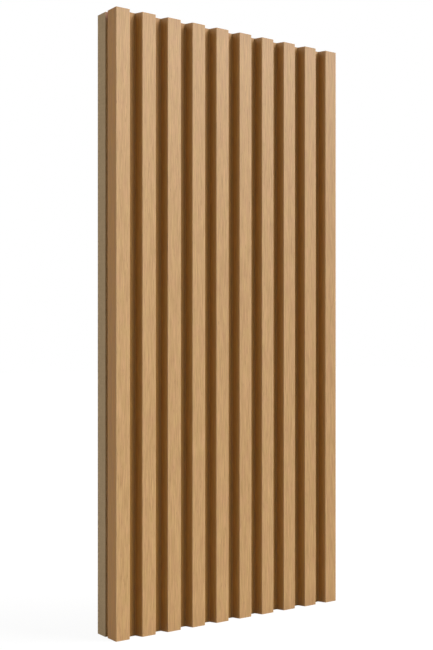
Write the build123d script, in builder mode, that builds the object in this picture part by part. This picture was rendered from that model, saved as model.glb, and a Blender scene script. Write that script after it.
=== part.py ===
"""Fluted wall panel: a milled fibreboard core with one oak veneer wrapped over its ribs and flutes.

Sizes are in millimetres. X runs across the panel, Z runs up it, and the front faces -Y.
The origin is the centre of the flat back face, which goes against the wall.
"""

import os
from math import radians, tan

from build123d import *

# Board
panel_height = 433.0
core_thickness = 25.0
veneer_thickness = 0.6

# Ribs and flutes, on the finished surface
rib_count = 10
rib_face_width = 10.8
flute_floor_width = 5.6
flute_depth = 5.9
flank_angle = 21.4
flute_corner_radius = 0.8
rib_corner_radius = 0.3

# Slots in the two long edges, and the raw board left behind them
slot_width = 3.1
slot_depth = 5.0
raw_edge_depth = 10.8

# Worked out from the sizes above
panel_thickness = core_thickness + veneer_thickness
flank_run = flute_depth * tan(radians(flank_angle))
rib_pitch = rib_face_width + flute_floor_width + 2 * flank_run
panel_width = (rib_count - 1) * rib_pitch + rib_face_width

left_edge = -panel_width / 2
right_edge = panel_width / 2
rib_front = -panel_thickness
flute_floor = rib_front + flute_depth
slot_front = -(raw_edge_depth + slot_width)
slot_middle = -(raw_edge_depth + slot_width / 2)
foot_plane = Plane.XY.offset(-panel_height / 2)


def face_outline():
    """Corners and corner radii of the finished face, from the left slot round the ribs to the right slot."""
    points = [(left_edge, slot_front), (left_edge, rib_front)]
    radii = [rib_corner_radius]
    for flute in range(rib_count - 1):
        rib_right = left_edge + flute * rib_pitch + rib_face_width
        next_rib_left = left_edge + (flute + 1) * rib_pitch
        points += [
            (rib_right, rib_front),
            (rib_right + flank_run, flute_floor),
            (next_rib_left - flank_run, flute_floor),
            (next_rib_left, rib_front),
        ]
        radii += [rib_corner_radius, flute_corner_radius, flute_corner_radius, rib_corner_radius]
    points += [(right_edge, rib_front), (right_edge, slot_front)]
    radii.append(rib_corner_radius)
    return points, radii


# Line of the finished face, which both pieces follow
face_points, face_radii = face_outline()
with BuildLine() as finished_face:
    FilletPolyline(*face_points, radius=face_radii)

# Veneer: one skin of even thickness that lines the finished face on its inner side
with BuildPart() as oak_face:
    with BuildSketch(foot_plane):
        with BuildLine():
            offset(finished_face.line, amount=veneer_thickness, side=Side.LEFT)
        make_face()
    extrude(amount=panel_height)
oak_face.part.label = "oak_face"

# Core: milled to the inner side of the veneer, with its raw rear edges flush with the veneered ones
with BuildPart() as core_board:
    with BuildSketch(foot_plane):
        with BuildLine():
            offset(finished_face.line, amount=veneer_thickness, side=Side.LEFT, closed=False)
            Polyline(
                (left_edge + veneer_thickness, slot_front),
                (left_edge, slot_front),
                (left_edge, 0),
                (right_edge, 0),
                (right_edge, slot_front),
                (right_edge - veneer_thickness, slot_front),
            )
        make_face()
        with Locations((left_edge, slot_middle), (right_edge, slot_middle)):
            Rectangle(2 * slot_depth, slot_width, mode=Mode.SUBTRACT)
    extrude(amount=panel_height)
core_board.part.label = "core_board"

os.makedirs("parts", exist_ok=True)
export_step(core_board.part, "parts/core_board.step")
export_step(oak_face.part, "parts/oak_face.step")
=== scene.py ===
"""Looks of the fluted wall panel: oak veneer over raw fibreboard, in a plain white studio.

Lengths are in metres. X runs across the panel, Z runs up it, and the front faces -Y.
"""

import math

import bpy
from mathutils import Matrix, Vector


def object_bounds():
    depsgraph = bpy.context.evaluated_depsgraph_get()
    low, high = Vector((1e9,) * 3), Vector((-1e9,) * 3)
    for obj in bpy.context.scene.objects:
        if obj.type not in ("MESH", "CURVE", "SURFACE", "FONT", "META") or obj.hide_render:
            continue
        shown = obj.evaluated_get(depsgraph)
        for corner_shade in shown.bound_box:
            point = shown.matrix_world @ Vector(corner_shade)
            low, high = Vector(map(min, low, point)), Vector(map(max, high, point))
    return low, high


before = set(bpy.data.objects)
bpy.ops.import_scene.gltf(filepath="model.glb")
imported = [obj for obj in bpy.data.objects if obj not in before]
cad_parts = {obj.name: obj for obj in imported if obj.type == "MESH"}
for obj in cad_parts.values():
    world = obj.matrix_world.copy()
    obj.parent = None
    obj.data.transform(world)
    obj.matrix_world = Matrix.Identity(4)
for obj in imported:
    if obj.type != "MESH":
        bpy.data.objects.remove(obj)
cad_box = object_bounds()

# Photograph's frame and view
IMAGE_HEIGHT = 650
FOCAL_PIXELS = 1063.7
HORIZON_ROW = 343.3
CAMERA_PLACE = Vector((-0.4660, -0.6546, -0.0131))
CAMERA_AZIMUTH = math.radians(-35.58)
SENSOR_WIDTH = 36.0

# Light: azimuth from straight in front, elevation, spread and strength of each lamp, and an even dim room
KEY_LAMP = (math.radians(57), math.radians(42), math.radians(42), 6.35)
SIDE_LAMP = (math.radians(-86), math.radians(18), math.radians(35), 1.02)
BACK_LAMP = (math.radians(174), math.radians(12), math.radians(8), 2.1)
SKY_LEVEL = 0.1
WHITE = (1, 1, 1, 1)

# Floor: dim where it lights the panel from below, near white with a faint shadow where it is seen
FLOOR_SIZE = 12.0
FLOOR_GREY = (0.11, 0.11, 0.11, 1)
FLOOR_PALE = (0.95, 0.95, 0.95, 1)
FLOOR_WHITE_SHARE = 0.94

# Ribs and flutes
RIB_COUNT = 10
RIB_FACE = 0.0108
FLUTE_FLOOR = 0.0056
FLUTE_DEPTH = 0.0059
HALF_WIDTH = cad_box[1].x
HALF_HEIGHT = cad_box[1].z
RIB_FRONT = cad_box[0].y
RIB_PITCH = (2 * HALF_WIDTH - RIB_FACE) / (RIB_COUNT - 1)
HALF_OPENING = (RIB_PITCH - RIB_FACE) / 2

# How far the marks that follow the shape reach
ARRIS_WIDTH = 0.0012
FRONT_LAYER = 0.0009
CORNER_REACH = 0.0020
END_DARKENING_REACH = 0.0150
FUZZ_REACH = 0.0030
SLOT_TOP_SHADE_REACH = 0.0080
HAIR = 0.0001

# Which way a surface faces along an axis, from where a mask begins to where it is full
ALONG_AXIS = (0.5, 0.9)
TO_FRONT = (-0.3, -0.9)
NOT_TO_RIGHT = (0.7, 0.3)

# Layers of noise: size along X, Y and Z, and detail
NOISE_ROUGHNESS = 0.6
OAK_BANDS = ((0.009, 0.009, 0.7), 2.0)
OAK_STREAKS = ((0.00052, 0.00052, 0.0165), 1.0)
OAK_FIBRES = ((0.0003, 0.0003, 0.009), 1.0)
OAK_PORES = ((0.00028, 0.00028, 0.006), 1.0)
OAK_HUES = ((0.005, 0.005, 0.012), 1.0)
BOARD_FIBRES = ((0.0006, 0.0006, 0.0006), 4.0)
BOARD_SPECKS = ((0.0018, 0.0018, 0.0028), 1.0)
BOARD_FUZZ = ((0.0008, 0.0016, 0.0008), 1.0)
BOARD_MOTTLE = ((0.012, 0.012, 0.03), 2.0)
SAW_MARKS = ((0.03, 0.03, 0.0009), 1.0)
SANDING_MARKS = ((0.0007, 0.0007, 0.12), 1.0)

# Oak: colours and tints
OAK_DARK = (0.375, 0.20, 0.070, 1)
OAK_LIGHT = (0.60, 0.36, 0.152, 1)
OAK_PORE = (0.23, 0.10, 0.03, 1)
OAK_ROSY = (1.04, 0.965, 1.10, 1)
OAK_OLIVE = (0.96, 1.035, 0.90, 1)
# Painted shade on the left edge, which the key lamp leaves in shade
LEFT_EDGE_SHADE_TINT = (0.87, 0.688, 0.325, 1)
# Painted shade in the flutes, darker and more saturated where shade falls
FLUTE_SHADE_TINT = (0.705, 0.605, 0.265, 1)
# Painted shade in the inner corners of the flutes
CORNER_SHADE_TINT = (0.78, 0.75, 0.54, 1)
# A little darker near the top and bottom ends
END_DARKENING_TINT = (0.95, 0.93, 0.92, 1)
END_TINT = (0.50, 0.42, 0.34, 1)

# Oak: how strongly its marks show, and its surface
# Painted sheen, growing towards the panel's left
FRONT_SHEEN_DRIFT = 0.12
# Painted highlight along the rib edges
ARRIS_HIGHLIGHT_TONE = 0.15
PORE_RANGE = (0.62, 0.74)
PORE_SHARE = 0.45
OAK_ROUGHNESS = (0.49, 0.61)
OAK_SPECULAR = 0.56
OAK_RELIEF = 0.35
OAK_RELIEF_DEPTH = 0.00006

# Fibreboard: colours and tints
BOARD_DARK = (0.40, 0.277, 0.150, 1)
BOARD_LIGHT = (0.66, 0.478, 0.280, 1)
SANDED_TINT = (0.93, 0.92, 0.90, 1)
SAWN_TINT = (0.78, 0.76, 0.73, 1)
# Painted light inside the slots
SLOT_FILL_LIGHT_TINT = (1.26, 1.19, 0.97, 1)
# Painted shade near the top of the slots, where the key lamp reaches in
SLOT_TOP_SHADE_TINT = (0.50, 0.38, 0.50, 1)

# Fibreboard: how strongly its marks show, and its surface
FUZZ_RANGE = (0.4, 0.6)
FUZZ_WEIGHT = 1.3
BOARD_ROUGHNESS = (0.84, 0.96)
BOARD_SPECULAR = 0.25
BOARD_RELIEF = 0.5
BOARD_RELIEF_DEPTH = 0.0001

# Middle stretch of a tone, over which the roughness changes
TONE_RANGE = (0.3, 0.7)


class Nodes:
    """Shorthand for building one node tree: new nodes, links and plain values by socket name."""

    def __init__(self, tree):
        self.tree = tree
        tree.nodes.clear()

    def add(self, kind, settings=None, **inputs):
        node = self.tree.nodes.new(kind)
        for name, value in (settings or {}).items():
            setattr(node, name, value)
        for name, value in inputs.items():
            self.feed(node.inputs[name.replace("_", " ")], value)
        return node

    def feed(self, socket, value):
        if isinstance(value, bpy.types.NodeSocket):
            self.tree.links.new(value, socket)
        else:
            socket.default_value = value

    def math(self, operation, first, second=0.0):
        node = self.add("ShaderNodeMath", {"operation": operation})
        self.feed(node.inputs[0], first)
        self.feed(node.inputs[1], second)
        return node.outputs[0]

    def product(self, first, *others):
        for other in others:
            first = self.math("MULTIPLY", first, other)
        return first

    def opposite(self, mask):
        """Nought where a mask is one, and one where it is nought."""
        return self.math("SUBTRACT", 1.0, mask)

    def remap(self, value, low, high, new_low=0.0, new_high=1.0):
        """Carries a value from one range to another, held inside the new one."""
        node = self.add("ShaderNodeMapRange", {"interpolation_type": "SMOOTHSTEP"}, Value=value,
                        From_Min=low, From_Max=high, To_Min=new_low, To_Max=new_high)
        return node.outputs[0]

    def noise(self, position, size, detail):
        """Noise with features of a given size along X, Y and Z."""
        scale = [1 / length for length in size]
        stretched = self.add("ShaderNodeMapping", Vector=position, Scale=scale)
        texture = self.add("ShaderNodeTexNoise", Vector=stretched.outputs[0], Scale=1.0, Detail=detail,
                           Roughness=NOISE_ROUGHNESS)
        return texture.outputs[0]

    def layered(self, *layers):
        """Adds up layers of noise, each centred on nought and weighted, round a mean of a half."""
        total = 0.5
        for noise, weight in layers:
            centred = self.math("SUBTRACT", noise, 0.5)
            total = self.math("ADD", self.product(centred, weight), total)
        return total

    def colours(self, factor, first, second, blend="MIX"):
        node = self.add("ShaderNodeMix", {"data_type": "RGBA", "blend_type": blend})
        self.feed(node.inputs[0], factor)
        self.feed(node.inputs[6], first)
        self.feed(node.inputs[7], second)
        return node.outputs[2]

    def tinted(self, colour, tint, mask=1.0):
        """Multiplies a colour by a tint where the mask is one."""
        return self.colours(mask, colour, tint, "MULTIPLY")

    def finish(self, colour, roughness, specular, relief, strength, depth):
        """Ends a wood material, with its grain as fine relief."""
        bump = self.add("ShaderNodeBump", Strength=strength, Distance=depth, Height=relief)
        shader = self.add("ShaderNodeBsdfPrincipled", Base_Color=colour, Roughness=roughness,
                          Specular_IOR_Level=specular, Normal=bump.outputs[0])
        self.add("ShaderNodeOutputMaterial", Surface=shader.outputs[0])


def new_material(name):
    material = bpy.data.materials.new(name)
    material.use_nodes = True
    return material, Nodes(material.node_tree)


def surface(nodes):
    """Where a point of the piece lies and which way it faces, whole and by axis."""
    coordinates = nodes.add("ShaderNodeTexCoord")
    place = nodes.add("ShaderNodeSeparateXYZ", Vector=coordinates.outputs["Object"])
    facing = nodes.add("ShaderNodeSeparateXYZ", Vector=coordinates.outputs["Normal"])
    return coordinates.outputs["Object"], place.outputs, facing.outputs


def from_flute_middle(nodes, place):
    """Distance across the panel from the middle of the nearest flute."""
    from_rib_middle = nodes.math("SUBTRACT", place["X"], RIB_FACE / 2 - HALF_WIDTH)
    in_pitch = nodes.math("FLOORED_MODULO", from_rib_middle, RIB_PITCH)
    return nodes.math("ABSOLUTE", nodes.math("SUBTRACT", in_pitch, RIB_PITCH / 2))


def end_mask(nodes, facing):
    """One on the sawn ends, nought elsewhere."""
    return nodes.remap(nodes.math("ABSOLUTE", facing["Z"]), *ALONG_AXIS)


def oak_veneer():
    """Straight-grained oak under a matt lacquer, with its grain along Z."""
    material, nodes = new_material("oak_veneer")
    position, place, facing = surface(nodes)

    bands = nodes.noise(position, *OAK_BANDS)
    streaks = nodes.noise(position, *OAK_STREAKS)
    fibres = nodes.noise(position, *OAK_FIBRES)
    pores = nodes.remap(nodes.noise(position, *OAK_PORES), *PORE_RANGE)
    hue = nodes.noise(position, *OAK_HUES)

    # Rib fronts, with a painted highlight along their edges and a painted sheen, a little paler towards
    # the panel's left
    across = from_flute_middle(nodes, place)
    to_front = nodes.remap(facing["Y"], *TO_FRONT)
    arris_highlight = nodes.product(nodes.remap(across, HALF_OPENING + ARRIS_WIDTH, HALF_OPENING), to_front)
    depth = nodes.math("SUBTRACT", place["Y"], RIB_FRONT)
    recess = nodes.remap(depth, FRONT_LAYER / 3, FRONT_LAYER)
    sheen_drift = nodes.product(place["X"], -FRONT_SHEEN_DRIFT / HALF_WIDTH, nodes.opposite(recess))

    # Painted shade behind the fronts: on the left edge and in the flutes, but not on what faces right
    shaded_recess = nodes.product(recess, nodes.remap(facing["X"], *NOT_TO_RIGHT))
    in_flute = nodes.math("LESS_THAN", across, HALF_OPENING - HAIR)
    flute_shade = nodes.product(shaded_recess, in_flute)
    edge_shade = nodes.product(shaded_recess, nodes.opposite(in_flute))
    to_side = nodes.remap(across, FLUTE_FLOOR / 2 - CORNER_REACH, FLUTE_FLOOR / 2)
    to_floor = nodes.remap(depth, FLUTE_DEPTH - CORNER_REACH, FLUTE_DEPTH)
    corner_shade = nodes.product(flute_shade, to_side, to_floor)

    # Sawn ends, and the wood beside them, a little darker near the top and bottom
    end = end_mask(nodes, facing)
    near_ends = nodes.remap(nodes.math("ABSOLUTE", place["Z"]), HALF_HEIGHT - END_DARKENING_REACH, HALF_HEIGHT)

    tone = nodes.layered((bands, 0.35), (streaks, 1.5), (fibres, 0.6))
    tone = nodes.math("ADD", tone, sheen_drift)
    tone = nodes.math("ADD", tone, nodes.product(arris_highlight, ARRIS_HIGHLIGHT_TONE))
    wood = nodes.colours(tone, OAK_DARK, OAK_LIGHT)
    wood = nodes.colours(nodes.product(pores, PORE_SHARE), wood, OAK_PORE)
    wood = nodes.tinted(wood, nodes.colours(hue, OAK_OLIVE, OAK_ROSY))
    wood = nodes.tinted(wood, LEFT_EDGE_SHADE_TINT, edge_shade)
    wood = nodes.tinted(wood, FLUTE_SHADE_TINT, flute_shade)
    wood = nodes.tinted(wood, CORNER_SHADE_TINT, corner_shade)
    wood = nodes.tinted(wood, END_DARKENING_TINT, near_ends)
    wood = nodes.tinted(wood, END_TINT, end)

    polish = nodes.layered((streaks, 0.6), (fibres, 0.6))
    roughness = nodes.remap(polish, *TONE_RANGE, *OAK_ROUGHNESS)
    relief = nodes.layered((fibres, 1.0), (streaks, 0.5), (pores, -0.6))
    nodes.finish(wood, roughness, OAK_SPECULAR, relief, OAK_RELIEF, OAK_RELIEF_DEPTH)
    return material


def raw_fibreboard():
    """Fibreboard: sawn on its edges and ends, sanded on its back, with painted light inside the slots and
    painted shade near their top.
    """
    material, nodes = new_material("raw_fibreboard")
    position, place, facing = surface(nodes)

    fibres = nodes.noise(position, *BOARD_FIBRES)
    specks = nodes.noise(position, *BOARD_SPECKS)
    fuzz = nodes.remap(nodes.noise(position, *BOARD_FUZZ), *FUZZ_RANGE)
    mottle = nodes.noise(position, *BOARD_MOTTLE)
    saw_marks = nodes.noise(position, *SAW_MARKS)
    sanding = nodes.noise(position, *SANDING_MARKS)

    # Sanded back, sawn ends, and the fuzzy rear corners of the sawn edges
    back = nodes.remap(facing["Y"], *ALONG_AXIS)
    end = end_mask(nodes, facing)
    rear = nodes.remap(place["Y"], -FUZZ_REACH, -FUZZ_REACH / 3)

    # Inside of the slots, with painted shade near the top, where the key lamp reaches in
    inside = nodes.math("LESS_THAN", nodes.math("ABSOLUTE", place["X"]), HALF_WIDTH - HAIR)
    off_back = nodes.math("LESS_THAN", place["Y"], -HAIR)
    slot = nodes.product(inside, off_back, nodes.opposite(end))
    near_top = nodes.remap(place["Z"], HALF_HEIGHT - SLOT_TOP_SHADE_REACH, HALF_HEIGHT - SLOT_TOP_SHADE_REACH / 2)
    slot_top_shade = nodes.product(slot, near_top)

    sawn = nodes.layered((fibres, 0.8), (specks, 0.4), (mottle, 0.3), (saw_marks, 0.25),
                         (fuzz, nodes.product(rear, FUZZ_WEIGHT)))
    sanded = nodes.layered((fibres, 0.7), (specks, 0.5), (mottle, 0.35), (sanding, 0.3))
    tone = nodes.add("ShaderNodeMix", Factor=back, A=sawn, B=sanded).outputs[0]
    board = nodes.colours(tone, BOARD_DARK, BOARD_LIGHT)
    board = nodes.tinted(board, SANDED_TINT, back)
    board = nodes.tinted(board, SAWN_TINT, end)
    board = nodes.tinted(board, SLOT_FILL_LIGHT_TINT, slot)
    board = nodes.tinted(board, SLOT_TOP_SHADE_TINT, slot_top_shade)

    roughness = nodes.remap(tone, *TONE_RANGE, *BOARD_ROUGHNESS)
    nodes.finish(board, roughness, BOARD_SPECULAR, tone, BOARD_RELIEF, BOARD_RELIEF_DEPTH)
    return material


def dress(node_name, material):
    """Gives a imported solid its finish."""
    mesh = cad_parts[node_name].data
    mesh.materials.clear()
    mesh.materials.append(material)


def background_rays(nodes):
    """One for the rays that show the background: camera, glossy and transmission."""
    path = nodes.add("ShaderNodeLightPath")
    seen = nodes.math("MAXIMUM", path.outputs["Is Camera Ray"], path.outputs["Is Glossy Ray"])
    return nodes.math("MAXIMUM", seen, path.outputs["Is Transmission Ray"])


def mixed(nodes, factor, first, second):
    """Mixes two shaders."""
    node = nodes.add("ShaderNodeMixShader", Fac=factor)
    nodes.feed(node.inputs[1], first.outputs[0])
    nodes.feed(node.inputs[2], second.outputs[0])
    return node


def make_world():
    """Dim even room that looks white."""
    world = bpy.data.worlds.new("studio")
    world.use_nodes = True
    bpy.context.scene.world = world
    nodes = Nodes(world.node_tree)
    sky = nodes.add("ShaderNodeBackground", Color=WHITE, Strength=SKY_LEVEL)
    white = nodes.add("ShaderNodeBackground", Color=WHITE, Strength=1.0)
    room = mixed(nodes, background_rays(nodes), sky, white)
    nodes.add("ShaderNodeOutputWorld", Surface=room.outputs[0])


def make_lamp(name, azimuth, elevation, spread, strength):
    """Broad soft light that comes from the same direction everywhere."""
    lamp = bpy.data.lights.new(name, "SUN")
    lamp.angle = spread
    lamp.energy = strength
    flat = math.cos(elevation)
    towards = Vector((math.sin(azimuth) * flat, -math.cos(azimuth) * flat, math.sin(elevation)))
    lamp_object = bpy.data.objects.new(name, lamp)
    lamp_object.location = towards
    lamp_object.rotation_euler = towards.to_track_quat("Z", "Y").to_euler()
    bpy.context.scene.collection.objects.link(lamp_object)


def make_floor():
    """White floor at the panel's foot, with a faint shadow."""
    low = cad_box[0].z
    half = FLOOR_SIZE / 2
    mesh = bpy.data.meshes.new("floor")
    corners = [(-half, -half, low), (half, -half, low), (half, half, low), (-half, half, low)]
    mesh.from_pydata(corners, [], [(0, 1, 2, 3)])
    floor = bpy.data.objects.new("floor", mesh)
    bpy.context.scene.collection.objects.link(floor)
    material, nodes = new_material("floor")
    grey = nodes.add("ShaderNodeBsdfDiffuse", Color=FLOOR_GREY)
    pale = nodes.add("ShaderNodeBsdfDiffuse", Color=FLOOR_PALE)
    white = nodes.add("ShaderNodeEmission", Color=WHITE, Strength=1.0)
    seen = mixed(nodes, FLOOR_WHITE_SHARE, pale, white)
    ground = mixed(nodes, background_rays(nodes), grey, seen)
    nodes.add("ShaderNodeOutputMaterial", Surface=ground.outputs[0])
    mesh.materials.append(material)


def make_camera():
    """Level camera, with the lens shifted so that the panel's upright lines stay upright."""
    lens = bpy.data.cameras.new("camera")
    lens.sensor_width = SENSOR_WIDTH
    lens.lens = SENSOR_WIDTH * FOCAL_PIXELS / IMAGE_HEIGHT
    lens.shift_y = (HORIZON_ROW - IMAGE_HEIGHT / 2) / IMAGE_HEIGHT
    camera = bpy.data.objects.new("camera", lens)
    camera.location = CAMERA_PLACE
    camera.rotation_euler = (math.radians(90), 0, CAMERA_AZIMUTH)
    bpy.context.scene.collection.objects.link(camera)
    bpy.context.scene.camera = camera


dress("oak_face", oak_veneer())
dress("core_board", raw_fibreboard())
make_world()
make_lamp("key_lamp", *KEY_LAMP)
make_lamp("side_lamp", *SIDE_LAMP)
make_lamp("back_lamp", *BACK_LAMP)
make_floor()
make_camera()
bpy.context.scene.view_settings.view_transform = "Standard"
